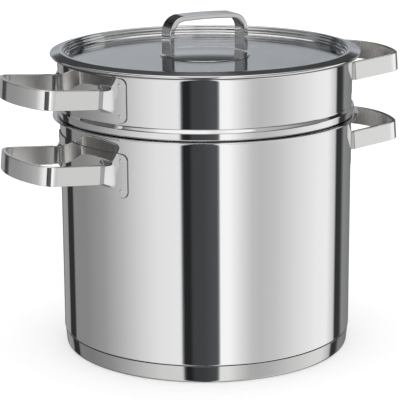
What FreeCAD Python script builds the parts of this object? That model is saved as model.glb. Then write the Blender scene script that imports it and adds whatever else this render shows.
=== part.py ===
import FreeCAD, Part
import math
import os

# A tall cooking pot of polished steel with a strainer insert and a glass lid, in millimetres.
# The insert's collar stands in the pot's pouring rim, and the lid lies on the collar's rim.
# The origin is on the floor, under the pot's axis. +Z is up, and the side handles lie along X.

# Sheets
pot_sheet = 0.8
insert_sheet = 0.8
capsule_sheet = 0.8
plate_sheet = 1.0
lid_sheet = 0.7
disc_sheet = 1.0

# Pot
wall_radius = 121.0
rim_width = 6.0
rim_bend = 2.4
pot_height = 196.5
base_corner_bend = 6.0
step_height = 0.7
step_bend = 0.5

# Base capsule and its heat disc
core_thickness = 6.2
capsule_wrap = 7.2
capsule_inset = 0.4
capsule_taper = 1.4
capsule_edge_bend = 2.5
capsule_clearance = 0.2
groove_height = 0.8
core_clearance = 0.1
core_inset = 0.8
core_edge_rise = 2.5

# Strainer insert
collar_height = 49.7
basket_inset = 4.0
basket_floor_height = 36.0
basket_corner_bend = 12.0
shoulder_bend = 3.0
bead_overhang = 2.2
bead_height = 5.4
bead_slope_height = 2.4
bead_bend = 2.0
bead_foot_bend = 1.6
seat_clearance = 0.1

# Drain holes of the insert
hole_radius = 3.5
floor_ring_spacing = 26.0
floor_ring_count = 3
first_ring_hole_count = 6
wall_row_count = 3
wall_row_spacing = 34.0
first_wall_row_height = 34.0
holes_in_wall_row = 28
floor_drill_depth = 3.2
wall_drill_depth = 4.8

# Side handles
handle_drop_on_pot = 31.2
handle_drop_on_insert = 21.2
strap_thickness = 3.5
strap_height = 15.6
strap_half_span = 43.5
strap_projection = 57.0
strap_corner_bend = 14.0
strap_bar_straight = 1.6
strap_bar_slope = 22.0
strap_tilt = 5.0
strap_edge_round = 0.6
seam_offset = 0.5
neck_length = 4.0
neck_step = 0.3

# Wall plates and their pressed feet
plate_margin = 16.3
plate_height = 35.5
plate_corner_radius = 5.0
foot_width = 18.0
foot_height = 22.0
foot_corner_radius = 3.0
neck_corner_radius = 0.8
foot_section_count = 4

# Glass lid
lid_overhang = 1.0
lid_edge_height = 4.2
lid_edge_bend = 1.1
lid_crest_width = 3.2
lid_crest_bend = 2.5
lid_slope_drop = 2.2
lid_hem_overlap = 3.0
lid_flange_width = 10.6
recess_bend = 1.2
recess_wall_heights = (1.2, 2.0, 1.9)
ledge_width = 1.2
ledge_rise = 0.5
ledge_outer_bend = 0.9
ledge_inner_bend = 0.4
glass_thickness = 4.0
glass_rise = 1.0
glass_clearance = 0.1
glass_side_clearance = 0.3
glass_depth_in_channel = 3.1
channel_bend = 0.3
grip_width = 2.6
grip_height = 0.9
grip_bend = 0.3
glass_hole_clearance = 1.0

# Lid knob
knob_turn = -5.0
knob_inset = 1.6
knob_rise = 31.2
knob_crown = 1.6
knob_width = 17.5
knob_thickness = 4.0
knob_corner_bend = 14.0
knob_crown_straight = 4.0
knob_edge_round = 0.6
disc_radius = 37.0
disc_bend = 1.2
disc_skirt = 1.6
upper_seal_inset = 4.0
upper_seal_thickness = 0.9
lower_seal_overhang = 2.0
lower_seal_thickness = 1.2
washer_radius = 10.0
washer_thickness = 1.2
stud_radius = 3.0
stud_clearance = 0.1
stud_end_length = 1.5
nut_side_count = 6
nut_across_flats = 10.0
nut_height = 5.0

# Lengths below this are taken as nothing
nothing = 1e-6

# Places that follow from the sizes
rim_radius = wall_radius + rim_width
floor_underside = capsule_sheet + core_thickness
capsule_height = floor_underside + capsule_wrap
core_edge_height = floor_underside + core_edge_rise
capsule_top_radius = wall_radius - capsule_inset
neck_radius = capsule_top_radius - capsule_sheet - capsule_clearance
neck_top = capsule_height + groove_height
rim_underside = pot_height - pot_sheet
rim_arc_radius = rim_bend + pot_sheet
seat_line = rim_underside - rim_bend - wall_radius - rim_bend
seat_line += (rim_arc_radius + seat_clearance) * math.sqrt(2)
basket_radius = wall_radius - basket_inset
bead_radius = wall_radius + bead_overhang
collar_top = pot_height + collar_height
seam_distance = wall_radius + seam_offset
strap_reach = wall_radius + strap_projection
plate_half_width = strap_half_span + plate_margin
lid_edge_radius = rim_radius + lid_overhang
lid_hem_radius = rim_radius - lid_hem_overlap
recess_radius = lid_edge_radius - lid_flange_width
lid_top = collar_top + lid_edge_height
ledge_count = len(recess_wall_heights) - 1
recess_foot_radius = recess_radius - ledge_count * ledge_width
grip_top = lid_top - sum(recess_wall_heights) - ledge_count * ledge_rise
glass_radius = recess_foot_radius - glass_side_clearance
glass_edge_slope = 2 * glass_rise / glass_radius
glass_edge_top = grip_top - grip_height - glass_clearance - grip_width * glass_edge_slope
glass_top = glass_edge_top + glass_rise
glass_hole_radius = stud_radius + glass_hole_clearance
dome_radius = (glass_radius ** 2 + glass_rise ** 2) / (2 * glass_rise)
disc_top = glass_top + upper_seal_thickness + disc_sheet
knob_half_length = disc_radius - knob_inset
upper_seal_radius = disc_radius - upper_seal_inset
lower_seal_radius = washer_radius + lower_seal_overhang


def unit_direction(start, end):
    length = math.dist(start[:2], end[:2])
    return (end[0] - start[0]) / length, (end[1] - start[1]) / length


def turn_angle(before, corner, after):
    """Angle by which a path turns at a corner, positive to the left."""
    first = unit_direction(before, corner)
    second = unit_direction(corner, after)
    cross = first[0] * second[1] - first[1] * second[0]
    dot = first[0] * second[0] + first[1] * second[1]
    return math.atan2(cross, dot)


def offset_path(corners, distance):
    """The same path of (x, y, bend) corners, moved to its left by the distance."""
    first_way = unit_direction(corners[0], corners[1])
    last_way = unit_direction(corners[-2], corners[-1])
    start = (corners[0][0] - first_way[1] * distance, corners[0][1] + first_way[0] * distance, 0)
    end = (corners[-1][0] - last_way[1] * distance, corners[-1][1] + last_way[0] * distance, 0)
    middle = []
    for before, corner, after in zip(corners, corners[1:], corners[2:]):
        way = unit_direction(before, corner)
        turn = turn_angle(before, corner, after)
        slide = -distance * math.tan(turn / 2)
        x = corner[0] - way[1] * distance + way[0] * slide
        y = corner[1] + way[0] * distance + way[1] * slide
        bend = max(corner[2] - distance * math.copysign(1, turn), 0)
        middle.append((x, y, bend))
    return [start] + middle + [end]


def path_edges(corners):
    """Edges of a path in the XY plane, with an arc at each corner that has a bend."""
    edges = []
    start = FreeCAD.Vector(corners[0][0], corners[0][1], 0)
    for before, corner, after in zip(corners, corners[1:], corners[2:]):
        point = FreeCAD.Vector(corner[0], corner[1], 0)
        half_turn = abs(turn_angle(before, corner, after)) / 2
        arc_reach = corner[2] * math.tan(half_turn)
        if arc_reach < nothing:
            edges.append(Part.LineSegment(start, point).toShape())
            start = point
            continue
        back_way = unit_direction(corner, before)
        ahead_way = unit_direction(corner, after)
        back = FreeCAD.Vector(back_way[0], back_way[1], 0)
        ahead = FreeCAD.Vector(ahead_way[0], ahead_way[1], 0)
        inward = (back + ahead).normalize()
        arc_start = point + back * arc_reach
        arc_middle = point + inward * (corner[2] / math.cos(half_turn) - corner[2])
        arc_end = point + ahead * arc_reach
        if arc_start.distanceToPoint(start) > nothing:
            edges.append(Part.LineSegment(start, arc_start).toShape())
        edges.append(Part.Arc(arc_start, arc_middle, arc_end).toShape())
        start = arc_end
    end = FreeCAD.Vector(corners[-1][0], corners[-1][1], 0)
    edges.append(Part.LineSegment(start, end).toShape())
    return edges


def closed_face(corners):
    """A flat face bounded by a path and the straight line that closes it."""
    return Part.Face(Part.Wire(path_edges(corners + [corners[0]])))


def sheet_face(corners, thickness):
    """The section of a bent sheet, from its skin to its left by the thickness."""
    other_skin = offset_path(corners, thickness)
    edges = path_edges(corners)
    edges += path_edges([corners[-1], other_skin[-1]])
    edges += path_edges(other_skin[::-1])
    edges += path_edges([other_skin[0], corners[0]])
    return Part.Face(Part.Wire(edges))


def revolved(face):
    """The solid of a section drawn as (radius, height), turned about the Z axis."""
    section = face.copy()
    section.rotate(FreeCAD.Vector(0, 0, 0), FreeCAD.Vector(1, 0, 0), 90)
    return section.revolve(FreeCAD.Vector(0, 0, 0), FreeCAD.Vector(0, 0, 1), 360)


def ring(inner_radius, outer_radius, bottom, height):
    """A flat washer, or a disc where the inner radius is zero."""
    solid = Part.makeCylinder(outer_radius, height, FreeCAD.Vector(0, 0, bottom))
    if inner_radius > 0:
        solid = solid.cut(Part.makeCylinder(inner_radius, height, FreeCAD.Vector(0, 0, bottom)))
    return solid


def crown_bend(half_width, slope, corner_bend, straight):
    """Bend radius of a crowned bar between two corners, each with a straight length beside it."""
    corner_reach = corner_bend * math.tan((math.pi / 2 - slope) / 2)
    return (half_width / math.cos(slope) - corner_reach - straight) / math.tan(slope)


# Pot
def make_pot_body():
    skin = [
        (0, floor_underside, 0),
        (neck_radius, floor_underside, base_corner_bend),
        (neck_radius, neck_top, step_bend),
        (wall_radius, neck_top + step_height, step_bend + pot_sheet),
        (wall_radius, rim_underside, rim_bend),
        (rim_radius, rim_underside, 0),
    ]
    return revolved(sheet_face(skin, pot_sheet))


def make_base_capsule():
    skin = [
        (0, 0, 0),
        (capsule_top_radius - capsule_taper, 0, capsule_edge_bend),
        (capsule_top_radius, capsule_height, 0),
    ]
    return revolved(sheet_face(skin, capsule_sheet))


def make_heat_disc():
    """The aluminium core, which fills the capsule up to the pot's floor and its corner."""
    corner_centre = neck_radius - base_corner_bend + core_clearance
    corner_height = floor_underside + base_corner_bend
    edge_reach = math.sqrt(base_corner_bend ** 2 - (corner_height - core_edge_height) ** 2)
    middle_reach = base_corner_bend * math.sqrt(0.5)
    core_radius = capsule_top_radius - capsule_taper - core_inset
    bottom_bend = capsule_edge_bend - capsule_sheet
    outline = path_edges([
        (0, capsule_sheet, 0),
        (core_radius - capsule_sheet, capsule_sheet, bottom_bend),
        (corner_centre + edge_reach, core_edge_height, 0),
    ])
    arc_start = FreeCAD.Vector(corner_centre + edge_reach, core_edge_height, 0)
    arc_middle = FreeCAD.Vector(corner_centre + middle_reach, corner_height - middle_reach, 0)
    arc_end = FreeCAD.Vector(corner_centre, floor_underside, 0)
    outline.append(Part.Arc(arc_start, arc_middle, arc_end).toShape())
    outline += path_edges([(corner_centre, floor_underside, 0), (0, floor_underside, 0)])
    outline += path_edges([(0, floor_underside, 0), (0, capsule_sheet, 0)])
    return revolved(Part.Face(Part.Wire(outline)))


# Strainer insert
def make_insert_shell():
    bead_foot = bead_radius + seat_line
    bead_top = bead_foot + bead_height
    skin = [
        (0, basket_floor_height, 0),
        (basket_radius, basket_floor_height, basket_corner_bend),
        (basket_radius, basket_radius + seat_line, shoulder_bend),
        (bead_radius, bead_foot, bead_foot_bend),
        (bead_radius, bead_top, bead_bend),
        (wall_radius, bead_top + bead_slope_height, bead_bend),
        (wall_radius, collar_top - insert_sheet, rim_bend),
        (rim_radius, collar_top - insert_sheet, 0),
    ]
    return revolved(sheet_face(skin, insert_sheet))


def make_floor_drills():
    bottom = basket_floor_height + insert_sheet / 2 - floor_drill_depth / 2
    drills = [Part.makeCylinder(hole_radius, floor_drill_depth, FreeCAD.Vector(0, 0, bottom))]
    for ring_number in range(1, floor_ring_count + 1):
        ring_radius = ring_number * floor_ring_spacing
        hole_count = ring_number * first_ring_hole_count
        for k in range(hole_count):
            angle = 2 * math.pi * k / hole_count
            place = FreeCAD.Vector(ring_radius * math.cos(angle), ring_radius * math.sin(angle), bottom)
            drills.append(Part.makeCylinder(hole_radius, floor_drill_depth, place))
    return drills


def make_wall_drills():
    """Rows of radial drills, each row turned by half a hole from the one below."""
    start_radius = basket_radius - insert_sheet / 2 - wall_drill_depth / 2
    drills = []
    for row in range(wall_row_count):
        height = basket_floor_height + first_wall_row_height + row * wall_row_spacing
        for k in range(holes_in_wall_row):
            angle = 2 * math.pi * (k + row / 2) / holes_in_wall_row
            way = FreeCAD.Vector(math.cos(angle), math.sin(angle), 0)
            place = way * start_radius + FreeCAD.Vector(0, 0, height)
            drills.append(Part.makeCylinder(hole_radius, wall_drill_depth, place, way))
    return drills


def make_insert_body():
    return make_insert_shell().cut(Part.makeCompound(make_floor_drills() + make_wall_drills()))


# Side handles, made at +X for a handle at height zero
def tilted(solid):
    """Raises a level strap's outer end about the seam where the strap meets its feet."""
    solid.rotate(FreeCAD.Vector(seam_distance, 0, 0), FreeCAD.Vector(0, -1, 0), strap_tilt)
    return solid


def make_strap():
    slope = math.radians(strap_bar_slope)
    bar_bend = crown_bend(strap_half_span, slope, strap_corner_bend, strap_bar_straight)
    apex = strap_reach + bar_bend * (1 / math.cos(slope) - 1)
    corner = apex - strap_half_span * math.tan(slope)
    skin = [
        (seam_distance, -strap_half_span, 0),
        (corner, -strap_half_span, strap_corner_bend),
        (apex, 0, bar_bend),
        (corner, strap_half_span, strap_corner_bend),
        (seam_distance, strap_half_span, 0),
    ]
    band = sheet_face(skin, strap_thickness).extrude(FreeCAD.Vector(0, 0, strap_height))
    band.translate(FreeCAD.Vector(0, 0, -strap_height / 2))
    long_edges = []
    for face in band.Faces:
        if 1 - abs(face.normalAt(0, 0).z) < nothing:
            long_edges += [edge for edge in face.Edges if edge.CenterOfMass.x > seam_distance + nothing]
    return tilted(band.makeFillet(strap_edge_round, long_edges))


def section_wire(width, height, corner, centre, facing):
    """A rounded rectangle about a centre, square to a horizontal or tilted direction."""
    half_width = width / 2
    half_height = height / 2
    corners = [
        (0, -half_height, 0),
        (half_width, -half_height, corner),
        (half_width, half_height, corner),
        (-half_width, half_height, corner),
        (-half_width, -half_height, corner),
        (0, -half_height, 0),
    ]
    wire = Part.Wire(path_edges(corners))
    across = FreeCAD.Vector(0, 0, 1).cross(facing).normalize()
    upward = facing.cross(across)
    wire.Placement = FreeCAD.Placement(centre, FreeCAD.Rotation(across, upward, facing, "ZXY"))
    return wire


def make_foot(side):
    """One pressed foot, which flares from the strap's leg into the wall plate."""
    leg_offset = side * (strap_half_span - strap_thickness / 2)
    tilt = math.radians(strap_tilt)
    leg_way = FreeCAD.Vector(math.cos(tilt), 0, math.sin(tilt))
    seam_centre = FreeCAD.Vector(seam_distance, leg_offset, 0)
    neck_centre = seam_centre - leg_way * neck_length
    plate_radius = wall_radius + plate_sheet / 2
    wall_angle = math.asin(leg_offset / plate_radius)
    wall_way = FreeCAD.Vector(math.cos(wall_angle), math.sin(wall_angle), 0)
    base_centre = wall_way * plate_radius
    neck_width = strap_thickness - 2 * neck_step
    neck_height = strap_height - 2 * neck_step

    neck_wires = [
        section_wire(neck_width, neck_height, neck_corner_radius, place, leg_way)
        for place in (neck_centre, seam_centre)
    ]
    flare_wires = []
    for k in range(foot_section_count):
        share = k / (foot_section_count - 1)
        growth = share ** 2
        flare_wires.append(section_wire(
            neck_width + (foot_width - neck_width) * growth,
            neck_height + (foot_height - neck_height) * growth,
            neck_corner_radius + (foot_corner_radius - neck_corner_radius) * growth,
            neck_centre + (base_centre - neck_centre) * share,
            (leg_way + (wall_way - leg_way) * share).normalize(),
        ))
    neck = Part.makeLoft(neck_wires, True, True)
    flare = Part.makeLoft(flare_wires, True, False)
    return neck.fuse(flare)


def make_wall_plate():
    """A curved plate on the wall with its two feet, pressed from one sheet."""
    outer_radius = wall_radius + plate_sheet
    half_height = plate_height / 2
    shell = ring(wall_radius, outer_radius, -half_height, plate_height)
    window = closed_face([
        (0, -half_height, 0),
        (plate_half_width, -half_height, plate_corner_radius),
        (plate_half_width, half_height, plate_corner_radius),
        (-plate_half_width, half_height, plate_corner_radius),
        (-plate_half_width, -half_height, plate_corner_radius),
    ])
    window.rotate(FreeCAD.Vector(0, 0, 0), FreeCAD.Vector(1, 1, 1), 120)
    plate = shell.common(window.extrude(FreeCAD.Vector(outer_radius, 0, 0)))
    return plate.fuse([make_foot(-1), make_foot(1)]).removeSplitter()


def placed_on_side(solid, height, left):
    placed = solid.copy()
    placed.translate(FreeCAD.Vector(0, 0, height))
    if left:
        placed.rotate(FreeCAD.Vector(0, 0, 0), FreeCAD.Vector(0, 0, 1), 180)
    return placed


# Lid
def make_lid_rim():
    """One rolled ring: the glass's channel, the stepped recess, the sloping flange and the hemmed edge."""
    channel_floor = glass_edge_top - glass_thickness - glass_clearance
    radius = recess_foot_radius
    height = grip_top
    skin = [
        (radius - glass_depth_in_channel, channel_floor, 0),
        (radius, channel_floor, channel_bend),
    ]
    for wall_height in recess_wall_heights[:ledge_count]:
        height += wall_height
        skin.append((radius, height, ledge_outer_bend))
        radius += ledge_width
        height += ledge_rise
        skin.append((radius, height, ledge_inner_bend))
    skin += [
        (recess_radius, lid_top, recess_bend),
        (recess_radius + lid_crest_width, lid_top, lid_crest_bend),
        (lid_edge_radius, lid_top - lid_slope_drop, lid_edge_bend),
        (lid_edge_radius, collar_top, lid_edge_bend),
        (lid_hem_radius, collar_top, 0),
    ]
    shell = revolved(sheet_face(skin, -lid_sheet))
    grip_foot = grip_top - grip_height
    grip = revolved(closed_face([
        (recess_foot_radius + lid_sheet / 2, grip_foot, 0),
        (recess_foot_radius + lid_sheet / 2, grip_top, 0),
        (recess_foot_radius - grip_width, grip_top, grip_bend),
        (recess_foot_radius - grip_width, grip_foot, grip_bend),
    ]))
    return shell.fuse(grip).removeSplitter()


def dome_drop(radius):
    """How far the domed glass lies below its middle at a radius."""
    return dome_radius - math.sqrt(dome_radius ** 2 - radius ** 2)


def dome_points(top):
    radii = (glass_hole_radius, glass_radius / 2, glass_radius)
    return [FreeCAD.Vector(radius, top - dome_drop(radius), 0) for radius in radii]


def make_lid_glass():
    """Domed glass of even thickness, with a hole at its middle for the knob's stud."""
    upper = dome_points(glass_top)
    lower = dome_points(glass_top - glass_thickness)
    edges = [
        Part.Arc(*upper).toShape(),
        Part.LineSegment(upper[2], lower[2]).toShape(),
        Part.Arc(*lower).toShape(),
        Part.LineSegment(lower[0], upper[0]).toShape(),
    ]
    return revolved(Part.Face(Part.Wire(edges)))


def make_knob_disc():
    skin = [
        (0, disc_top, 0),
        (disc_radius, disc_top, disc_bend),
        (disc_radius, disc_top - disc_skirt, 0),
    ]
    return revolved(sheet_face(skin, -disc_sheet))


def make_knob_bow():
    shoulder = disc_top + knob_rise
    slope = math.atan2(knob_crown, knob_half_length)
    top_bend = crown_bend(knob_half_length, slope, knob_corner_bend, knob_crown_straight)
    skin = [
        (-knob_half_length, disc_top, 0),
        (-knob_half_length, shoulder, knob_corner_bend),
        (0, shoulder + knob_crown, top_bend),
        (knob_half_length, shoulder, knob_corner_bend),
        (knob_half_length, disc_top, 0),
    ]
    section = sheet_face(skin, -knob_thickness)
    section.rotate(FreeCAD.Vector(0, 0, 0), FreeCAD.Vector(1, 0, 0), 90)
    bow = section.extrude(FreeCAD.Vector(0, knob_width, 0))
    bow.translate(FreeCAD.Vector(0, -knob_width / 2, 0))
    long_edges = []
    for face in bow.Faces:
        if 1 - abs(face.normalAt(0, 0).y) < nothing:
            long_edges += [edge for edge in face.Edges if edge.CenterOfMass.z > disc_top + nothing]
    bow = bow.makeFillet(knob_edge_round, long_edges)
    bow.rotate(FreeCAD.Vector(0, 0, 0), FreeCAD.Vector(0, 0, 1), knob_turn)
    return bow


def make_lid_fastening():
    """The stud under the disc, and what is stacked on it above and below the glass."""
    inner_radius = stud_radius + stud_clearance
    disc_underside = disc_top - disc_sheet
    seal_top = glass_top - glass_thickness - dome_drop(lower_seal_radius)
    washer_top = seal_top - lower_seal_thickness
    nut_top = washer_top - washer_thickness
    nut_bottom = nut_top - nut_height
    stud_bottom = nut_bottom - stud_end_length

    corner_radius = nut_across_flats / 2 / math.cos(math.pi / nut_side_count)
    corners = [
        FreeCAD.Vector(corner_radius * math.cos(2 * math.pi * k / nut_side_count),
                       corner_radius * math.sin(2 * math.pi * k / nut_side_count), nut_bottom)
        for k in range(nut_side_count)
    ]
    nut = Part.Face(Part.makePolygon(corners + corners[:1])).extrude(FreeCAD.Vector(0, 0, nut_height))
    nut = nut.cut(Part.makeCylinder(inner_radius, nut_height, FreeCAD.Vector(0, 0, nut_bottom)))
    stud = ring(0, stud_radius, stud_bottom, disc_underside - stud_bottom)
    return {
        "knob_stud": stud,
        "knob_upper_seal": ring(inner_radius, upper_seal_radius, glass_top, upper_seal_thickness),
        "knob_lower_seal": ring(inner_radius, lower_seal_radius, washer_top, lower_seal_thickness),
        "knob_washer": ring(inner_radius, washer_radius, nut_top, washer_thickness),
        "knob_nut": nut,
    }


def make_parts():
    strap = make_strap()
    plate = make_wall_plate()
    parts = {
        "pot_body": make_pot_body(),
        "base_capsule": make_base_capsule(),
        "base_heat_disc": make_heat_disc(),
        "insert_body": make_insert_body(),
        "lid_rim": make_lid_rim(),
        "lid_glass": make_lid_glass(),
        "knob_disc": make_knob_disc(),
        "knob_bow": make_knob_bow(),
    }
    parts.update(make_lid_fastening())
    handle_heights = {
        "pot": pot_height - handle_drop_on_pot,
        "insert": collar_top - handle_drop_on_insert,
    }
    for owner, height in handle_heights.items():
        for side, left in (("left", True), ("right", False)):
            parts[f"{owner}_plate_{side}"] = placed_on_side(plate, height, left)
            parts[f"{owner}_handle_{side}"] = placed_on_side(strap, height, left)
    return parts


os.makedirs("parts", exist_ok=True)
for name, shape in make_parts().items():
    shape.exportStep(f"parts/{name}.step")
    print(name, "valid" if shape.isValid() else "NOT VALID", len(shape.Solids), round(shape.Volume, 1))
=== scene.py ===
import math
import bmesh
import bpy
from mathutils import Matrix, Vector


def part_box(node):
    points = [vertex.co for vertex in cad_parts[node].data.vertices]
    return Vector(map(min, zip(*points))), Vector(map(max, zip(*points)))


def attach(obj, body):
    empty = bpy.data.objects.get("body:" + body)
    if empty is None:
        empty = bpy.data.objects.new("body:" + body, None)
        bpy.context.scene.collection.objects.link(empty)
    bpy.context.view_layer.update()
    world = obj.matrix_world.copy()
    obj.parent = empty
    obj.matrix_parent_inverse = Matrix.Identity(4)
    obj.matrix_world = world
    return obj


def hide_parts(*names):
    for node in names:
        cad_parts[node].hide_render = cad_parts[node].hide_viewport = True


# A tall polished pot with a strainer insert in its rim and a glass lid.
# Each piece that shows is a smooth mesh with the form of the solid that it stands for, and finer details.
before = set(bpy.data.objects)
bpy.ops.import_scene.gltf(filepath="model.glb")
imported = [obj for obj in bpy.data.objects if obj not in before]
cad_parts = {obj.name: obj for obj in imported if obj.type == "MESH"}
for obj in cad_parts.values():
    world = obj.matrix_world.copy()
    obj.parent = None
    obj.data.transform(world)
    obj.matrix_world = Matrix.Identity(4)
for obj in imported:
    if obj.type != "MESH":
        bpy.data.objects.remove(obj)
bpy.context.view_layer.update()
mm = 0.001


def low(node):
    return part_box(node)[0]


def high(node):
    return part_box(node)[1]


# Sheets
pot_sheet = 0.8 * mm
insert_sheet = 0.8 * mm
capsule_sheet = 0.8 * mm
plate_sheet = 1.0 * mm
lid_sheet = 0.7 * mm
disc_sheet = 1.0 * mm
sheet_edge_round = 0.25 * mm

# Pot and its base
wall_radius = 121.0 * mm
rim_radius = high("pot_body").x
rim_bend = 2.4 * mm
pot_height = high("pot_body").z
floor_underside = low("pot_body").z
base_corner_bend = 6.0 * mm
step_height = 0.7 * mm
step_bend = 0.5 * mm
capsule_radius = high("base_capsule").x
capsule_height = high("base_capsule").z
capsule_taper = 1.4 * mm
capsule_edge_bend = 2.5 * mm
capsule_clearance = 0.2 * mm
groove_height = 0.2 * mm

# Strainer insert
collar_top = high("insert_body").z
basket_radius = 117.0 * mm
basket_floor = low("insert_body").z
basket_corner_bend = 12.0 * mm
shoulder_bend = 3.0 * mm
bead_radius = 123.2 * mm
bead_height = 5.4 * mm
bead_slope_height = 2.4 * mm
bead_bend = 2.0 * mm
bead_foot_bend = 1.6 * mm
seat_clearance = 0.1 * mm
hole_radius = 3.5 * mm
floor_ring_spacing = 26.0 * mm
floor_ring_count = 3
first_ring_hole_count = 6
wall_row_count = 3
wall_row_spacing = 34.0 * mm
first_wall_row_height = 34.0 * mm
holes_in_wall_row = 28
drill_length = 4.0 * mm

# Side handles
handle_heights = {
    "pot": pot_height - 31.2 * mm,
    "insert": collar_top - 21.2 * mm,
}
strap_thickness = 3.5 * mm
strap_height = 15.6 * mm
strap_half_span = high("pot_handle_right").y
strap_projection = 57.0 * mm
strap_corner_bend = 14.0 * mm
strap_bar_slope = math.radians(22)
strap_bar_straight = 1.6 * mm
strap_tilt = math.radians(5)
strap_edge_round = 0.7 * mm
seam_distance = wall_radius + 0.5 * mm
neck_length = 4.0 * mm
neck_step = 0.3 * mm
neck_corner_radius = 0.8 * mm

# Wall plates and their pressed feet
plate_half_width = high("pot_plate_right").y
plate_height = 35.5 * mm
plate_corner_radius = 5.0 * mm
plate_edge_round = 0.4 * mm
foot_width = 18.0 * mm
foot_height = 22.0 * mm
foot_corner_radius = 5.0 * mm
weld_mark_radius = 1.3 * mm
weld_mark_rise = 0.2 * mm
weld_mark_inset = 5.5 * mm
weld_ring_shares = (1, 0.85, 0.7, 0.5, 0.3, 0.15)

# Lid
lid_edge_radius = high("lid_rim").x
lid_top = high("lid_rim").z
lid_edge_bend = 1.1 * mm
lid_crest_width = 3.2 * mm
lid_crest_bend = 2.5 * mm
lid_slope_drop = 2.2 * mm
lid_hem_radius = 124.0 * mm
recess_radius = 117.4 * mm
recess_bend = 1.2 * mm
recess_wall_heights = (1.2 * mm, 2.0 * mm, 1.9 * mm)
ledge_width = 1.2 * mm
ledge_rise = 0.5 * mm
ledge_outer_bend = 0.9 * mm
ledge_inner_bend = 0.4 * mm
channel_floor = low("lid_rim").z + lid_sheet
channel_depth = 3.1 * mm
channel_bend = 0.3 * mm
grip_width = 1.4 * mm
grip_height = 0.9 * mm
grip_shoulder = 0.2 * mm
grip_bend = 0.3 * mm
glass_radius = high("lid_glass").x
glass_top = high("lid_glass").z
glass_thickness = 4.0 * mm
glass_rise = 1.0 * mm
glass_edge_round = 0.6 * mm
glass_hole_radius = 4.0 * mm

# Lid knob
disc_radius = high("knob_disc").x
disc_top = high("knob_disc").z
disc_bend = 1.2 * mm
disc_skirt = 1.6 * mm
disc_crown_drop = 1.2 * mm
knob_turn = math.radians(-5)
knob_half_length = 35.4 * mm
knob_rise = 31.2 * mm
knob_crown = 1.6 * mm
knob_crown_straight = 4.0 * mm
knob_width = 17.5 * mm
knob_thickness = 4.0 * mm
knob_corner_bend = 14.0 * mm
knob_edge_round = 0.8 * mm

# Smoothness of the meshes
turns = 288
arc_step = math.radians(9)
longest_chord = 2.0 * mm
sharp_angle = math.radians(38)
drill_sides = 28
flare_steps = 12
foot_flat_steps = 5
plate_flat_steps = 48
plate_corner_steps = 10
plate_row_count = 6
plate_edge_steps = 3
weld_mark_sides = 16
glass_steps = 40

# A length that counts as none
nothing = 1e-9

# Places of the other materials in a piece's list, where its main one has place 0
inside_index = 1
weld_index = 1
# The cut edges take a darkened steel, painted shade for the shadow lines round the plates and under the
# lid.
shaded_edge_index = 2


# Paths of (x, y, bend) corners
def unit_direction(start, end):
    length = math.dist(start[:2], end[:2])
    return Vector(((end[0] - start[0]) / length, (end[1] - start[1]) / length))


def turn_angle(before, corner, after):
    """Angle by which a path turns at a corner, positive to the left."""
    first = unit_direction(before, corner)
    second = unit_direction(corner, after)
    return math.atan2(first.x * second.y - first.y * second.x, first.dot(second))


def offset_path(corners, distance):
    """The same open path, moved to its left by the distance."""
    moved = []
    for k, corner in enumerate(corners):
        if k == 0 or k == len(corners) - 1:
            way = unit_direction(corners[max(k - 1, 0)], corners[max(k, 1)])
            moved.append((corner[0] - way.y * distance, corner[1] + way.x * distance, corner[2]))
            continue
        way = unit_direction(corners[k - 1], corner)
        turn = turn_angle(corners[k - 1], corner, corners[k + 1])
        slide = -distance * math.tan(turn / 2)
        x = corner[0] - way.y * distance + way.x * slide
        y = corner[1] + way.x * distance + way.y * slide
        moved.append((x, y, max(corner[2] - distance * math.copysign(1, turn), 0)))
    return moved


def corner_stations(before, corner, after):
    """Points with their directions of travel along the arc at one corner."""
    turn = turn_angle(before, corner, after)
    way = unit_direction(before, corner)
    reach = corner[2] * math.tan(abs(turn) / 2)
    if reach < nothing:
        return [(Vector(corner[:2]), way), (Vector(corner[:2]), unit_direction(corner, after))]
    start = Vector(corner[:2]) - way * reach
    side = math.copysign(1, turn)
    centre = start + Vector((-way.y, way.x)) * side * corner[2]
    steps = math.ceil(max(abs(turn) / arc_step, abs(turn) * corner[2] / longest_chord))
    stations = []
    for k in range(steps + 1):
        spin = Matrix.Rotation(turn * k / steps, 2)
        stations.append((centre + spin @ (start - centre), spin @ way))
    return stations


def open_stations(corners):
    """Points and directions along an open path."""
    first_way = unit_direction(corners[0], corners[1])
    last_way = unit_direction(corners[-2], corners[-1])
    stations = [(Vector(corners[0][:2]), first_way)]
    for before, corner, after in zip(corners, corners[1:], corners[2:]):
        stations += corner_stations(before, corner, after)
    return stations + [(Vector(corners[-1][:2]), last_way)]


def loop_points(corners):
    """Points of a closed outline."""
    points = []
    for before, corner, after in zip(corners[-1:] + corners[:-1], corners, corners[1:] + corners[:1]):
        for point, way in corner_stations(before, corner, after):
            if not points or (point - points[-1]).length > nothing:
                points.append(point)
    return points


def sheet_loop(skin, thickness):
    """The closed section of a bent sheet, from its skin to its left, with its cut edges rounded."""
    other = offset_path(skin, thickness)
    corners = []
    for x, y, bend in skin + other[::-1]:
        at_end = (x, y, bend) in (skin[0], skin[-1], other[0], other[-1])
        on_axis = abs(x) < nothing
        corners.append((x, y, sheet_edge_round if at_end and not on_axis else bend))
    return loop_points(corners)


# Meshes
def finished(name, mesh, nodes, slot, *materials):
    """Smooth shading with true flats, and the piece's place in the frame."""
    mesh.validate()
    piece = bpy.data.objects.new(name, mesh)
    bpy.context.scene.collection.objects.link(piece)
    mesh.shade_smooth()
    mesh.set_sharp_from_angle(angle=sharp_angle)
    normals = piece.modifiers.new("flats", "WEIGHTED_NORMAL")
    normals.keep_sharp = True
    for material in materials:
        mesh.materials.append(material)
    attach(piece, "root")
    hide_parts(*nodes)


def mark(mesh, material_index, is_marked):
    """Gives one of the piece's materials to the faces for which is_marked(centre, normal) holds."""
    for face in mesh.polygons:
        if is_marked(face.center, face.normal):
            face.material_index = material_index


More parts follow.
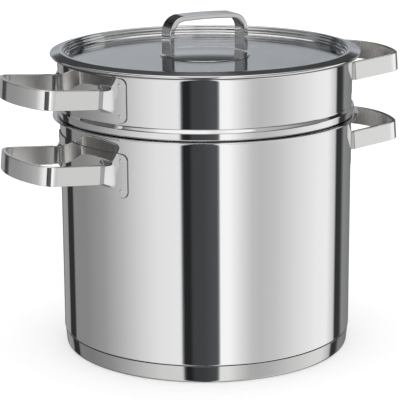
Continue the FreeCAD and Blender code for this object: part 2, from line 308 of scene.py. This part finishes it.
def mesh_from(name, build):
    """A mesh whose faces are added by build(bm) and then turned outwards."""
    mesh = bpy.data.meshes.new(name)
    bm = bmesh.new()
    build(bm)
    bmesh.ops.recalc_face_normals(bm, faces=bm.faces)
    bm.to_mesh(mesh)
    bm.free()
    return mesh


def add_strip(bm, first, second):
    """Faces between two rings of the same count, where a ring of one point is a pole."""
    count = max(len(first), len(second))
    faces = []
    for k in range(count):
        nearby = [first[k % len(first)], first[(k + 1) % len(first)]]
        nearby += [second[(k + 1) % len(second)], second[k % len(second)]]
        corners = list(dict.fromkeys(nearby))
        faces.append(bm.faces.new(corners))
    return faces


def add_lathe(bm, points):
    """A closed outline of (radius, height) points, turned about the Z axis."""
    rings = []
    for radius, height in points:
        if radius < nothing:
            rings.append([bm.verts.new((0, 0, height))])
            continue
        angles = [2 * math.pi * k / turns for k in range(turns)]
        rings.append([bm.verts.new((radius * math.cos(a), radius * math.sin(a), height)) for a in angles])
    for first, second in zip(rings, rings[1:] + rings[:1]):
        if len(first) > 1 or len(second) > 1:
            add_strip(bm, first, second)


def lathe_mesh(name, points):
    return mesh_from(name, lambda bm: add_lathe(bm, points))


def rounded_rectangle(width, height, radius, flat_steps):
    """Points of a rounded rectangle about the origin, with its flats cut into steps."""
    half_width = width / 2
    half_height = height / 2
    shortest_flat = min(width, height) / 4
    points = []
    outline = loop_points([
        (half_width, -half_height, radius),
        (half_width, half_height, radius),
        (-half_width, half_height, radius),
        (-half_width, -half_height, radius),
    ])
    for point, following in zip(outline, outline[1:] + outline[:1]):
        is_flat = (following - point).length > shortest_flat
        steps = flat_steps if is_flat else 1
        points += [point.lerp(following, k / steps) for k in range(steps)]
    return points


def add_band(bm, corners, thickness, width, edge_round):
    """A flat band bent along a path in the XY plane. It stands on edge, its width along Z."""
    section = rounded_rectangle(thickness, width, edge_round, flat_steps=1)
    rings = []
    for point, way in open_stations(corners):
        left = Vector((-way.y, way.x))
        ring = []
        for across, up in section:
            place = point + left * (across + thickness / 2)
            ring.append(bm.verts.new((place.x, place.y, up)))
        rings.append(ring)
    for first, second in zip(rings, rings[1:]):
        add_strip(bm, first, second)
    bm.faces.new(rings[0])
    bm.faces.new(rings[-1])


def crown_bend(half_width, slope, corner_bend, straight):
    """Bend radius of a crowned bar between two corners, each with a straight length beside it."""
    corner_reach = corner_bend * math.tan((math.pi / 2 - slope) / 2)
    return (half_width / math.cos(slope) - corner_reach - straight) / math.tan(slope)


# Polished steel and the other materials
wear_detail = 4
# How often the wear repeats along X, Y and Z. Less often gives longer marks.
even_grain = (1, 1, 1)
long_grain = (1, 1, 0.35)
longest_grain = (1, 1, 0.1)


def new_material(name, color, metallic, roughness):
    material = bpy.data.materials.new(name)
    material.use_nodes = True
    shader = material.node_tree.nodes["Principled BSDF"]
    shader.inputs["Base Color"].default_value = (*color, 1)
    shader.inputs["Metallic"].default_value = metallic
    shader.inputs["Roughness"].default_value = roughness
    return material


def add_wear(material, scale, grain, least_roughness, most_roughness, bump_height):
    """Roughness that varies over the surface and a faint bump of the same grain."""
    nodes = material.node_tree.nodes
    links = material.node_tree.links
    shader = nodes["Principled BSDF"]
    place = nodes.new("ShaderNodeTexCoord")
    mapping = nodes.new("ShaderNodeMapping")
    mapping.inputs["Scale"].default_value = grain
    noise = nodes.new("ShaderNodeTexNoise")
    noise.inputs["Scale"].default_value = scale
    noise.inputs["Detail"].default_value = wear_detail
    spread = nodes.new("ShaderNodeMapRange")
    spread.inputs["To Min"].default_value = least_roughness
    spread.inputs["To Max"].default_value = most_roughness
    bump = nodes.new("ShaderNodeBump")
    bump.inputs["Strength"].default_value = 1
    bump.inputs["Distance"].default_value = bump_height
    links.new(place.outputs["Object"], mapping.inputs["Vector"])
    links.new(mapping.outputs["Vector"], noise.inputs["Vector"])
    links.new(noise.outputs["Fac"], spread.inputs["Value"])
    links.new(spread.outputs["Result"], shader.inputs["Roughness"])
    links.new(noise.outputs["Fac"], bump.inputs["Height"])
    links.new(bump.outputs["Normal"], shader.inputs["Normal"])


def make_polished_steel():
    material = new_material("polished_steel", color=(0.63, 0.63, 0.63), metallic=1, roughness=0.03)
    add_wear(material, scale=60, grain=long_grain, least_roughness=0.02,
             most_roughness=0.06, bump_height=0.002 * mm)
    return material


def make_satin_steel():
    material = new_material("satin_steel", color=(0.64, 0.64, 0.64), metallic=1, roughness=0.4)
    add_wear(material, scale=300, grain=longest_grain, least_roughness=0.34,
             most_roughness=0.48, bump_height=0.004 * mm)
    return material


def make_dull_steel():
    """Ground welds at the ends of the straps."""
    material = new_material("dull_steel", color=(0.46, 0.455, 0.45), metallic=1, roughness=0.3)
    add_wear(material, scale=300, grain=even_grain, least_roughness=0.26,
             most_roughness=0.4, bump_height=0.004 * mm)
    return material


def make_shaded_cut_steel():
    """Cut edges of the wall plates and of the insert's rim. They are duller than the polished faces, and
    are darkened past real steel as painted shade: the shadow line in the gap between each plate and the
    wall, and the shadow seam under the lid's edge.
    """
    material = new_material("shaded_cut_steel", color=(0.18, 0.18, 0.18), metallic=1, roughness=0.4)
    add_wear(material, scale=300, grain=even_grain, least_roughness=0.35,
             most_roughness=0.5, bump_height=0.004 * mm)
    return material


def make_strap_steel():
    material = new_material("strap_steel", color=(0.70, 0.695, 0.69), metallic=0.95, roughness=0.1)
    add_wear(material, scale=60, grain=long_grain, least_roughness=0.08,
             most_roughness=0.13, bump_height=0.002 * mm)
    return material


def make_brushed_steel():
    """The insides of the straps, which are brushed but not polished."""
    material = new_material("brushed_steel", color=(0.68, 0.66, 0.635), metallic=1, roughness=0.28)
    add_wear(material, scale=300, grain=longest_grain, least_roughness=0.24,
             most_roughness=0.32, bump_height=0.003 * mm)
    return material


def make_base_steel():
    material = new_material("base_steel", color=(0.50, 0.50, 0.495), metallic=1, roughness=0.05)
    add_wear(material, scale=60, grain=long_grain, least_roughness=0.04,
             most_roughness=0.09, bump_height=0.002 * mm)
    return material


def make_aluminium():
    material = new_material("core_aluminium", color=(0.75, 0.75, 0.76), metallic=1, roughness=0.35)
    add_wear(material, scale=200, grain=even_grain, least_roughness=0.3,
             most_roughness=0.45, bump_height=0.01 * mm)
    return material


def make_silicone():
    material = new_material("silicone", color=(0.035, 0.035, 0.04), metallic=0, roughness=0.5)
    add_wear(material, scale=400, grain=even_grain, least_roughness=0.45,
             most_roughness=0.6, bump_height=0.01 * mm)
    return material


def make_glass():
    material = new_material("lid_glass", color=(0.80, 0.86, 0.89), metallic=0, roughness=0.0)
    shader = material.node_tree.nodes["Principled BSDF"]
    shader.inputs["Transmission Weight"].default_value = 1
    shader.inputs["IOR"].default_value = 1.5
    add_wear(material, scale=40, grain=even_grain, least_roughness=0.0,
             most_roughness=0.01, bump_height=0.001 * mm)
    return material


polished_steel = make_polished_steel()
satin_steel = make_satin_steel()
dull_steel = make_dull_steel()
shaded_cut_steel = make_shaded_cut_steel()
strap_steel = make_strap_steel()
brushed_steel = make_brushed_steel()
base_steel = make_base_steel()
aluminium = make_aluminium()
silicone = make_silicone()
glass = make_glass()


# Pot and base
def make_pot_body():
    neck_radius = capsule_radius - capsule_sheet - capsule_clearance
    neck_top = capsule_height + groove_height
    rim_underside = pot_height - pot_sheet
    skin = [
        (0, floor_underside, 0),
        (neck_radius, floor_underside, base_corner_bend),
        (neck_radius, neck_top, step_bend),
        (wall_radius, neck_top + step_height, step_bend + pot_sheet),
        (wall_radius, rim_underside, rim_bend),
        (rim_radius, rim_underside, 0),
    ]
    mesh = lathe_mesh("pot_body_smooth", sheet_loop(skin, pot_sheet))
    finished("pot_wall", mesh, ["pot_body"], "polished_steel", polished_steel)


def make_base_capsule():
    skin = [
        (0, 0, 0),
        (capsule_radius - capsule_taper, 0, capsule_edge_bend),
        (capsule_radius, capsule_height, 0),
    ]
    mesh = lathe_mesh("base_capsule_smooth", sheet_loop(skin, capsule_sheet))
    finished("capsule", mesh, ["base_capsule"], "polished_steel", base_steel)


# Strainer insert
def insert_skin():
    """The insert's outer side. Its 45 degree slope under the bead rests on the arc of the pot's rim."""
    rim_underside = pot_height - pot_sheet
    seat_line = rim_underside - rim_bend - wall_radius - rim_bend
    seat_line += (rim_bend + pot_sheet + seat_clearance) * math.sqrt(2)
    bead_foot = bead_radius + seat_line
    bead_top = bead_foot + bead_height
    collar_underside = collar_top - insert_sheet
    return [
        (0, basket_floor, 0),
        (basket_radius, basket_floor, basket_corner_bend),
        (basket_radius, basket_radius + seat_line, shoulder_bend),
        (bead_radius, bead_foot, bead_foot_bend),
        (bead_radius, bead_top, bead_bend),
        (wall_radius, bead_top + bead_slope_height, bead_bend),
        (wall_radius, collar_underside, rim_bend),
        (rim_radius, collar_underside, 0),
    ]


def drill_places():
    """Middle and direction of each drain hole, in the floor's rings and the wall's rows."""
    up = Vector((0, 0, 1))
    floor_middle = basket_floor + insert_sheet / 2
    places = [(Vector((0, 0, floor_middle)), up)]
    for ring_number in range(1, floor_ring_count + 1):
        hole_count = ring_number * first_ring_hole_count
        for k in range(hole_count):
            angle = 2 * math.pi * k / hole_count
            way = Vector((math.cos(angle), math.sin(angle), 0))
            places.append((way * ring_number * floor_ring_spacing + up * floor_middle, up))
    for row in range(wall_row_count):
        height = basket_floor + first_wall_row_height + row * wall_row_spacing
        for k in range(holes_in_wall_row):
            angle = 2 * math.pi * (k + row / 2) / holes_in_wall_row
            way = Vector((math.cos(angle), math.sin(angle), 0))
            places.append((way * (basket_radius - insert_sheet / 2) + up * height, way))
    return places


def add_drills(bm):
    for middle, way in drill_places():
        turn = way.to_track_quat("Z", "Y").to_matrix().to_4x4()
        bmesh.ops.create_cone(bm, cap_ends=True, segments=drill_sides, radius1=hole_radius,
                              radius2=hole_radius, depth=drill_length,
                              matrix=Matrix.Translation(middle) @ turn)


def is_inside_insert(centre, normal):
    """The floor's upper face and the wall's inner face, which have a satin finish."""
    outward = Vector((centre.x, centre.y, 0))
    if outward.length < basket_radius - basket_corner_bend:
        return normal.z > 0
    return normal.dot(outward.normalized()) < 0


def is_shaded_rim_edge(centre, normal):
    """The cut edge of the sheet at the insert's rim, darkened as a painted shadow seam under the lid's
    edge.
    """
    return math.hypot(centre.x, centre.y) > rim_radius - sheet_edge_round


def make_insert_body():
    mesh = lathe_mesh("insert_body_smooth", sheet_loop(insert_skin(), insert_sheet))
    shell = bpy.data.objects.new("insert_shell", mesh)
    drills = bpy.data.objects.new("drills", mesh_from("drills", add_drills))
    for helper in (shell, drills):
        bpy.context.scene.collection.objects.link(helper)
    cut = shell.modifiers.new("drain_holes", "BOOLEAN")
    cut.operation = "DIFFERENCE"
    cut.solver = "MANIFOLD"
    cut.object = drills
    bpy.context.view_layer.update()
    drilled = bpy.data.meshes.new_from_object(shell.evaluated_get(bpy.context.evaluated_depsgraph_get()))
    for helper in (shell, drills):
        bpy.data.objects.remove(helper)
    drilled.materials.clear()
    mark(drilled, inside_index, is_inside_insert)
    # The rim's cut edge gets painted shade, a dark seam under the lid's edge.
    mark(drilled, shaded_edge_index, is_shaded_rim_edge)
    finished("strainer_insert", drilled, ["insert_body"], "polished_steel",
             polished_steel, satin_steel, shaded_cut_steel)


# Side handles, made at +X and at height zero
def side_place(owner, side):
    turn = math.pi if side == "left" else 0
    return Matrix.Translation((0, 0, handle_heights[owner])) @ Matrix.Rotation(turn, 4, "Z")


def tilt_about_seam():
    seam = Matrix.Translation((seam_distance, 0, 0))
    return seam @ Matrix.Rotation(-strap_tilt, 4, "Y") @ seam.inverted()


def strap_mesh(name):
    reach = wall_radius + strap_projection
    bar_bend = crown_bend(strap_half_span, strap_bar_slope, strap_corner_bend, strap_bar_straight)
    apex = reach + bar_bend * (1 / math.cos(strap_bar_slope) - 1)
    corner = apex - strap_half_span * math.tan(strap_bar_slope)
    skin = [
        (seam_distance, -strap_half_span, 0),
        (corner, -strap_half_span, strap_corner_bend),
        (apex, 0, bar_bend),
        (corner, strap_half_span, strap_corner_bend),
        (seam_distance, strap_half_span, 0),
    ]
    mesh = mesh_from(name, lambda bm: add_band(bm, skin, strap_thickness, strap_height, strap_edge_round))
    grip_middle = Vector(((seam_distance + reach) / 2, 0, 0))
    least_facing = 0.3

    def is_inside_strap(centre, normal):
        return normal.dot((grip_middle - centre).normalized()) > least_facing

    mark(mesh, inside_index, is_inside_strap)
    mesh.transform(tilt_about_seam())
    return mesh


def foot_ring(width, height, corner, centre, facing):
    """A rounded rectangle about a centre, square to a horizontal or tilted direction."""
    across = Vector((0, 0, 1)).cross(facing).normalized()
    upward = facing.cross(across)
    outline = rounded_rectangle(width, height, corner, foot_flat_steps)
    return [centre + across * x + upward * y for x, y in outline]


def onto_plate(point, rise, share):
    """Moves a point by a share of its way to the curved plate's face, raised by a height."""
    flat = Vector((point.x, point.y, 0))
    wanted = flat.normalized() * (wall_radius + plate_sheet + rise)
    moved = flat.lerp(wanted, share)
    return Vector((moved.x, moved.y, point.z))


def add_foot(bm, side):
    """One pressed foot, which leaves the plate's face in a hollow curve and ends at the strap."""
    leg_offset = side * (strap_half_span - strap_thickness / 2)
    leg_way = Vector((math.cos(strap_tilt), 0, math.sin(strap_tilt)))
    seam_centre = Vector((seam_distance, leg_offset, 0))
    neck_centre = seam_centre - leg_way * neck_length
    plate_face = wall_radius + plate_sheet
    wall_angle = math.asin(leg_offset / plate_face)
    wall_way = Vector((math.cos(wall_angle), math.sin(wall_angle), 0))
    base_centre = wall_way * plate_face
    neck_width = strap_thickness - 2 * neck_step
    neck_height = strap_height - 2 * neck_step
    flare_length = (neck_centre - base_centre).length

    rings = [foot_ring(neck_width, neck_height, neck_corner_radius, seam_centre, leg_way)]
    for k in range(flare_steps + 1):
        angle = math.pi / 2 * k / flare_steps
        share = math.sin(angle)
        # The foot widens slowly near the strap and fast near the plate.
        growth = (share + 1 - math.cos(angle)) / 2
        ring = foot_ring(
            neck_width + (foot_width - neck_width) * growth,
            neck_height + (foot_height - neck_height) * growth,
            neck_corner_radius + (foot_corner_radius - neck_corner_radius) * growth,
            neck_centre.lerp(base_centre, share),
            leg_way.lerp(wall_way, share).normalized(),
        )
        rise = flare_length * (1 - share)
        rings.append([onto_plate(point, rise, growth) for point in ring])
    vertex_rings = [[bm.verts.new(point) for point in ring] for ring in rings]
    strips = [add_strip(bm, first, second) for first, second in zip(vertex_rings, vertex_rings[1:])]
    for face in strips[0]:
        face.material_index = weld_index
    bm.faces.new(vertex_rings[0])
    bm.faces.new(vertex_rings[-1])


def plate_half_height(across):
    """Half the plate's height at a distance from its middle, less where its corners are round."""
    past_corner = abs(across) - (plate_half_width - plate_corner_radius)
    if past_corner <= 0:
        return plate_height / 2
    drop = plate_corner_radius - math.sqrt(max(plate_corner_radius ** 2 - past_corner ** 2, 0))
    return plate_height / 2 - drop


def plate_columns():
    """Distances from the plate's middle, evenly along the flat and by angle round the corners."""
    flat_half = plate_half_width - plate_corner_radius
    flat = [flat_half * (2 * k / plate_flat_steps - 1) for k in range(plate_flat_steps + 1)]
    angles = [math.pi / 2 * k / plate_corner_steps for k in range(1, plate_corner_steps + 1)]
    corner = [plate_corner_radius * math.sin(angle) for angle in angles]
    return [-flat_half - c for c in corner[::-1]] + flat + [flat_half + c for c in corner]


def add_plate(bm):
    """The curved sheet, its face and back as columns of points that follow the rounded outline."""
    row_shares = [2 * k / plate_row_count - 1 for k in range(plate_row_count + 1)]
    skins = []
    for radius in (wall_radius + plate_sheet, wall_radius):
        skin = []
        for across in plate_columns():
            half = plate_half_height(across)
            x = math.sqrt(radius ** 2 - across ** 2)
            skin.append([bm.verts.new((x, across, half * share)) for share in row_shares])
        skins.append(skin)
        for first, second in zip(skin, skin[1:]):
            for k in range(plate_row_count):
                bm.faces.new((first[k], second[k], second[k + 1], first[k + 1]))
    face, back = skins
    borders = []
    for skin in (face, back):
        border = skin[0][:-1] + [column[-1] for column in skin[:-1]]
        border += skin[-1][:0:-1] + [column[0] for column in skin[:0:-1]]
        borders.append(border)
    # The plate's cut edges get painted shade, a dark shadow line round the plate where it meets the wall.
    for edge_face in add_strip(bm, *borders):
        edge_face.material_index = shaded_edge_index
    rim = [bm.edges.get((a, b)) for a, b in zip(borders[0], borders[0][1:] + borders[0][:1])]
    round_profile = 0.5
    bmesh.ops.bevel(bm, geom=rim, offset=plate_edge_round, segments=plate_edge_steps, affect="EDGES",
                    profile=round_profile, material=shaded_edge_index)


def add_weld_mark(bm, across, up):
    """A low ring that a spot weld leaves near a corner of the plate."""
    face = wall_radius + plate_sheet
    angle = math.asin(across / face)
    way = Vector((math.cos(angle), math.sin(angle), 0))
    side = Vector((-way.y, way.x, 0))
    rings = []
    for share in weld_ring_shares:
        rise = weld_mark_rise * math.sin(math.pi * share)
        ring = []
        for k in range(weld_mark_sides):
            spin = 2 * math.pi * k / weld_mark_sides
            spot = way * (face + rise) + side * weld_mark_radius * share * math.cos(spin)
            spot += Vector((0, 0, up + weld_mark_radius * share * math.sin(spin)))
            ring.append(bm.verts.new(spot))
        rings.append(ring)
    for first, second in zip(rings, rings[1:]):
        add_strip(bm, first, second)
    bm.faces.new(rings[-1])
    bm.faces.new(rings[0])


def plate_mesh(name):
    def build(bm):
        add_plate(bm)
        for side in (-1, 1):
            add_foot(bm, side)
            for end in (-1, 1):
                add_weld_mark(bm, side * (plate_half_width - weld_mark_inset),
                              end * (plate_height / 2 - weld_mark_inset))

    return mesh_from(name, build)


def make_side_handles():
    for owner in handle_heights:
        for side in ("left", "right"):
            strap = strap_mesh(f"{owner}_strap_{side}")
            strap.transform(side_place(owner, side))
            finished(f"{owner}_strap_{side}", strap, [f"{owner}_handle_{side}"], "polished_steel",
                     strap_steel, brushed_steel)
            plate = plate_mesh(f"{owner}_feet_{side}")
            plate.transform(side_place(owner, side))
            finished(f"{owner}_feet_{side}", plate, [f"{owner}_plate_{side}"], "polished_steel",
                     polished_steel, dull_steel, shaded_cut_steel)


# Lid
def make_lid_rim():
    ledge_count = len(recess_wall_heights) - 1
    foot_radius = recess_radius - ledge_count * ledge_width
    grip_top = lid_top - sum(recess_wall_heights) - ledge_count * ledge_rise
    radius = foot_radius
    height = grip_top
    skin = [
        (radius - channel_depth, channel_floor, 0),
        (radius, channel_floor, channel_bend),
    ]
    for wall_height in recess_wall_heights[:ledge_count]:
        height += wall_height
        skin.append((radius, height, ledge_outer_bend))
        radius += ledge_width
        height += ledge_rise
        skin.append((radius, height, ledge_inner_bend))
    skin += [
        (recess_radius, lid_top, recess_bend),
        (recess_radius + lid_crest_width, lid_top, lid_crest_bend),
        (lid_edge_radius, lid_top - lid_slope_drop, lid_edge_bend),
        (lid_edge_radius, collar_top, lid_edge_bend),
        (lid_hem_radius, collar_top, 0),
    ]
    grip_inner = foot_radius - grip_width
    grip_foot = grip_top - grip_height
    grip = loop_points([
        (foot_radius + lid_sheet / 2, grip_foot, 0),
        (foot_radius + lid_sheet / 2, grip_top, 0),
        (foot_radius - grip_shoulder, grip_top, grip_bend),
        (grip_inner, grip_foot, 0),
    ])

    def build(bm):
        add_lathe(bm, sheet_loop(skin, -lid_sheet))
        add_lathe(bm, grip)

    mesh = mesh_from("lid_rim_smooth", build)
    finished("lid_ring", mesh, ["lid_rim"], "polished_steel", polished_steel)


def make_lid_glass():
    dome_radius = (glass_radius ** 2 + glass_rise ** 2) / (2 * glass_rise)
    upper = []
    for k in range(glass_steps + 1):
        radius = glass_hole_radius + (glass_radius - glass_hole_radius) * k / glass_steps
        drop = dome_radius - math.sqrt(dome_radius ** 2 - radius ** 2)
        upper.append((radius, glass_top - drop, 0))
    upper[-1] = (*upper[-1][:2], glass_edge_round)
    lower = [(radius, height - glass_thickness, bend) for radius, height, bend in upper[::-1]]
    mesh = lathe_mesh("lid_glass_smooth", loop_points(upper + lower))
    finished("glass_dome", mesh, ["lid_glass"], "lid_glass", glass)


def make_knob_disc():
    crown_reach = disc_radius / 2
    crown_bend_radius = crown_reach / math.tan(math.atan2(disc_crown_drop, crown_reach) / 2)
    skin = [
        (0, disc_top, 0),
        (crown_reach, disc_top, crown_bend_radius),
        (disc_radius, disc_top - disc_crown_drop, disc_bend),
        (disc_radius, disc_top - disc_crown_drop - disc_skirt, 0),
    ]
    mesh = lathe_mesh("knob_disc_smooth", sheet_loop(skin, -disc_sheet))
    finished("knob_plate", mesh, ["knob_disc"], "polished_steel", polished_steel)


def make_knob_bow():
    slope = math.atan2(knob_crown, knob_half_length)
    top_bend = crown_bend(knob_half_length, slope, knob_corner_bend, knob_crown_straight)
    skin = [
        (knob_half_length, 0, 0),
        (knob_half_length, knob_rise, knob_corner_bend),
        (0, knob_rise + knob_crown, top_bend),
        (-knob_half_length, knob_rise, knob_corner_bend),
        (-knob_half_length, 0, 0),
    ]

    def build(bm):
        add_band(bm, skin, knob_thickness, knob_width, knob_edge_round)

    mesh = mesh_from("knob_bow_smooth", build)
    stand_up = Matrix.Rotation(math.pi / 2, 4, "X")
    mesh.transform(Matrix.Translation((0, 0, disc_top)) @ Matrix.Rotation(knob_turn, 4, "Z") @ stand_up)
    finished("knob_strap", mesh, ["knob_bow"], "polished_steel", polished_steel)


def dress_small_parts():
    """The hidden core and the knob's fastening keep their solids and get their materials."""
    looks = {
        "base_heat_disc": aluminium,
        "knob_stud": satin_steel,
        "knob_washer": satin_steel,
        "knob_nut": satin_steel,
        "knob_upper_seal": silicone,
        "knob_lower_seal": silicone,
    }
    for node, material in looks.items():
        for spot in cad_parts[node].material_slots:
            spot.material = material


# Camera, with its roll in radians, and its lens and sensor in millimetres
camera_azimuth = math.radians(-30.5)
camera_distance = 1427.0 * mm
camera_height = 483.6 * mm
camera_roll = -0.0062
camera_lens = 157.1
camera_sensor = 36.0
aim_right = -5.0 * mm
aim_height = 119.8 * mm


def make_camera():
    data = bpy.data.cameras.new("camera")
    data.lens = camera_lens
    data.sensor_width = camera_sensor
    camera = bpy.data.objects.new("camera", data)
    bpy.context.scene.collection.objects.link(camera)
    back = Vector((math.sin(camera_azimuth), -math.cos(camera_azimuth), 0))
    right = Vector((math.cos(camera_azimuth), math.sin(camera_azimuth), 0))
    place = back * camera_distance + Vector((0, 0, camera_height))
    aim = right * aim_right + Vector((0, 0, aim_height))
    turn = (aim - place).to_track_quat("-Z", "Y").to_matrix().to_4x4()
    camera.matrix_world = Matrix.Translation(place) @ turn @ Matrix.Rotation(camera_roll, 4, "Z")
    bpy.context.scene.camera = camera


# What the steel and the glass mirror, as a product studio with soft white panels between black flags.
# The panels are brighter than the paper behind the object, because steel gives back two thirds of them.
panel_strength = 1.43

# Around the object: azimuth in degrees from the camera's side, positive to its right, and brightness.
around_stops = (
    (-180, 0.1), (-165, 0.15), (-158, 0.27), (-144, 0.28), (-142, 0.03), (-131, 0.03),
    (-129, 0.24), (-110, 0.25), (-88, 0.335), (-69, 0.505), (-53, 0.68), (-38, 0.82), (-20, 0.86),
    (-18, 0.02), (-12, 0.02), (-10.5, 0.055), (-2, 0.06), (9.7, 0.09),
    (10.7, 1.0), (18, 1.0), (28, 0.745), (36, 0.57), (43, 0.53), (55, 0.58), (75, 0.745), (98, 0.89),
    (111, 0.90), (122, 0.58), (124.5, 0.03), (134, 0.04), (140, 0.24), (180, 0.1),
)

# Over the object: degrees of the arc that rises from the camera's side over the top, and brightness.
over_stops = (
    (-180, 0.3), (-160, 0.3), (0, 0.25), (30, 0.45), (50, 1.0), (132, 1.0), (137, 0.07), (150, 0.05),
    (163, 0.05), (166.5, 0.12), (168.5, 0.38), (171.5, 0.36), (174, 0.29), (180, 0.3),
)

# Across the room: distance to the side, from -1 at the left to 1, and the share of that light left there.
across_stops = (
    (-1, 0.1), (-0.64, 0.12), (-0.56, 0.6), (-0.45, 0.7), (-0.38, 1.0),
    (0, 1.0), (0.08, 0.84), (0.2, 1.0), (0.38, 1.0), (0.42, 0.5), (0.62, 0.45), (0.72, 0.2), (1, 0.15),
)

# Where the room above starts, in two slopes. Each runs between two shares of the way toward the camera,
# which go from -1 straight behind the object to 1, and then come the heights at both ends of the slope.
ceiling_behind = (-0.97, -0.80, -0.11, 0.30)
ceiling_beside = (-0.20, -0.05, 0.30, 0.10)
ceiling_softness = 0.06

# What is darker than these limits, around the object and over it, is a little blue.
cool_limit_around = 0.12
cool_limit_over = 0.45
cool_red = 0.96
cool_blue = 1.07

black = (0, 0, 0, 1)
white = (1, 1, 1, 1)


def studio_color(brightness, cool_limit):
    """A grey, a little blue where it is darker than a limit."""
    if brightness < cool_limit:
        return (brightness * cool_red, brightness, brightness * cool_blue, 1)
    return (brightness, brightness, brightness, 1)


def make_world():
    world = bpy.data.worlds.new("studio")
    bpy.context.scene.world = world
    world.use_nodes = True
    nodes = world.node_tree.nodes
    links = world.node_tree.links
    background = nodes["Background"]

    def math_node(operation, *values):
        node = nodes.new("ShaderNodeMath")
        node.operation = operation
        for socket, value in zip(node.inputs, values):
            if isinstance(value, (int, float)):
                socket.default_value = value
            else:
                links.new(value, socket)
        return node.outputs[0]

    def map_range(value, low_in, high_in, low_out, high_out):
        node = nodes.new("ShaderNodeMapRange")
        links.new(value, node.inputs["Value"])
        node.inputs["From Min"].default_value = low_in
        node.inputs["From Max"].default_value = high_in
        node.inputs["To Min"].default_value = low_out
        node.inputs["To Max"].default_value = high_out
        return node.outputs["Result"]

    def ramp_of(share, stops, whole, cool_limit=0):
        """Brightness by a share from 0 to 1. The stops run over a whole, with zero at its middle."""
        ramp = nodes.new("ShaderNodeValToRGB")
        elements = ramp.color_ramp.elements
        for k, (place, brightness) in enumerate(stops):
            position = place / whole + 0.5
            element = elements[k] if k < len(elements) else elements.new(position)
            element.position = position
            element.color = studio_color(brightness, cool_limit)
        links.new(share, ramp.inputs["Fac"])
        return ramp.outputs["Color"]

    def angle_ramp(upward, forward, stops, cool_limit):
        """Brightness by the angle of a direction, from its two components."""
        angle = math_node("ARCTAN2", upward, forward)
        share = math_node("MULTIPLY_ADD", angle, 1 / (2 * math.pi), 0.5)
        return ramp_of(share, stops, whole=360, cool_limit=cool_limit)

    def mixed(factor, first, second):
        node = nodes.new("ShaderNodeMix")
        node.data_type = "RGBA"
        links.new(factor, node.inputs["Factor"])
        for name, value in (("A", first), ("B", second)):
            if isinstance(value, tuple):
                node.inputs[name].default_value = value
            else:
                links.new(value, node.inputs[name])
        return node.outputs["Result"]

    place = nodes.new("ShaderNodeTexCoord")
    split = nodes.new("ShaderNodeSeparateXYZ")
    links.new(place.outputs["Generated"], split.inputs[0])
    east, north, up = split.outputs
    toward_x = math.sin(camera_azimuth)
    toward_y = -math.cos(camera_azimuth)
    toward = math_node("ADD", math_node("MULTIPLY", east, toward_x),
                       math_node("MULTIPLY", north, toward_y))
    aside = math_node("SUBTRACT", math_node("MULTIPLY", north, toward_x),
                      math_node("MULTIPLY", east, toward_y))
    around = angle_ramp(aside, toward, around_stops, cool_limit_around)
    over = angle_ramp(up, toward, over_stops, cool_limit_over)
    across = ramp_of(math_node("MULTIPLY_ADD", aside, 0.5, 0.5), across_stops, whole=2)
    above = mixed(across, black, over)

    # The room above starts low on the camera's side, higher behind the object, and under the horizon
    # straight behind it.
    ceiling_start = math_node("MINIMUM", map_range(toward, *ceiling_behind),
                              map_range(toward, *ceiling_beside))
    above_start = math_node("SUBTRACT", up, ceiling_start)
    ceiling = map_range(above_start, 0, ceiling_softness, 0, 1)
    room = mixed(ceiling, around, above)

    # A ray that only passes through the glass counts as glossy too, and gets white as the camera does.
    light_path = nodes.new("ShaderNodeLightPath")
    is_mirrored = math_node("SUBTRACT", light_path.outputs["Is Glossy Ray"],
                            light_path.outputs["Is Transmission Ray"])
    seen = mixed(is_mirrored, white, room)
    links.new(seen, background.inputs["Color"])
    links.new(map_range(is_mirrored, 0, 1, 1, panel_strength), background.inputs["Strength"])


# Floor, which gets a little light of its own that only the camera sees
floor_size = 12.0
floor_color = (0.86, 0.86, 0.86, 1)
floor_lift = 0.3


def make_floor():
    bpy.ops.mesh.primitive_plane_add(size=floor_size)
    floor = bpy.context.object
    floor.name = "floor"
    material = bpy.data.materials.new("floor")
    material.use_nodes = True
    nodes = material.node_tree.nodes
    links = material.node_tree.links
    shader = nodes["Principled BSDF"]
    shader.inputs["Base Color"].default_value = floor_color
    shader.inputs["Roughness"].default_value = 1
    shader.inputs["Specular IOR Level"].default_value = 0
    shader.inputs["Emission Color"].default_value = white
    light_path = nodes.new("ShaderNodeLightPath")
    lift = nodes.new("ShaderNodeMath")
    lift.operation = "MULTIPLY"
    lift.inputs[1].default_value = floor_lift
    links.new(light_path.outputs["Is Camera Ray"], lift.inputs[0])
    links.new(lift.outputs[0], shader.inputs["Emission Strength"])
    floor.data.materials.append(material)
    floor.visible_glossy = False


make_pot_body()
make_base_capsule()
make_insert_body()
make_side_handles()
make_lid_rim()
make_lid_glass()
make_knob_disc()
make_knob_bow()
dress_small_parts()
make_camera()
make_world()
make_floor()

bpy.context.scene.view_settings.view_transform = "Standard"
bpy.context.view_layer.update()
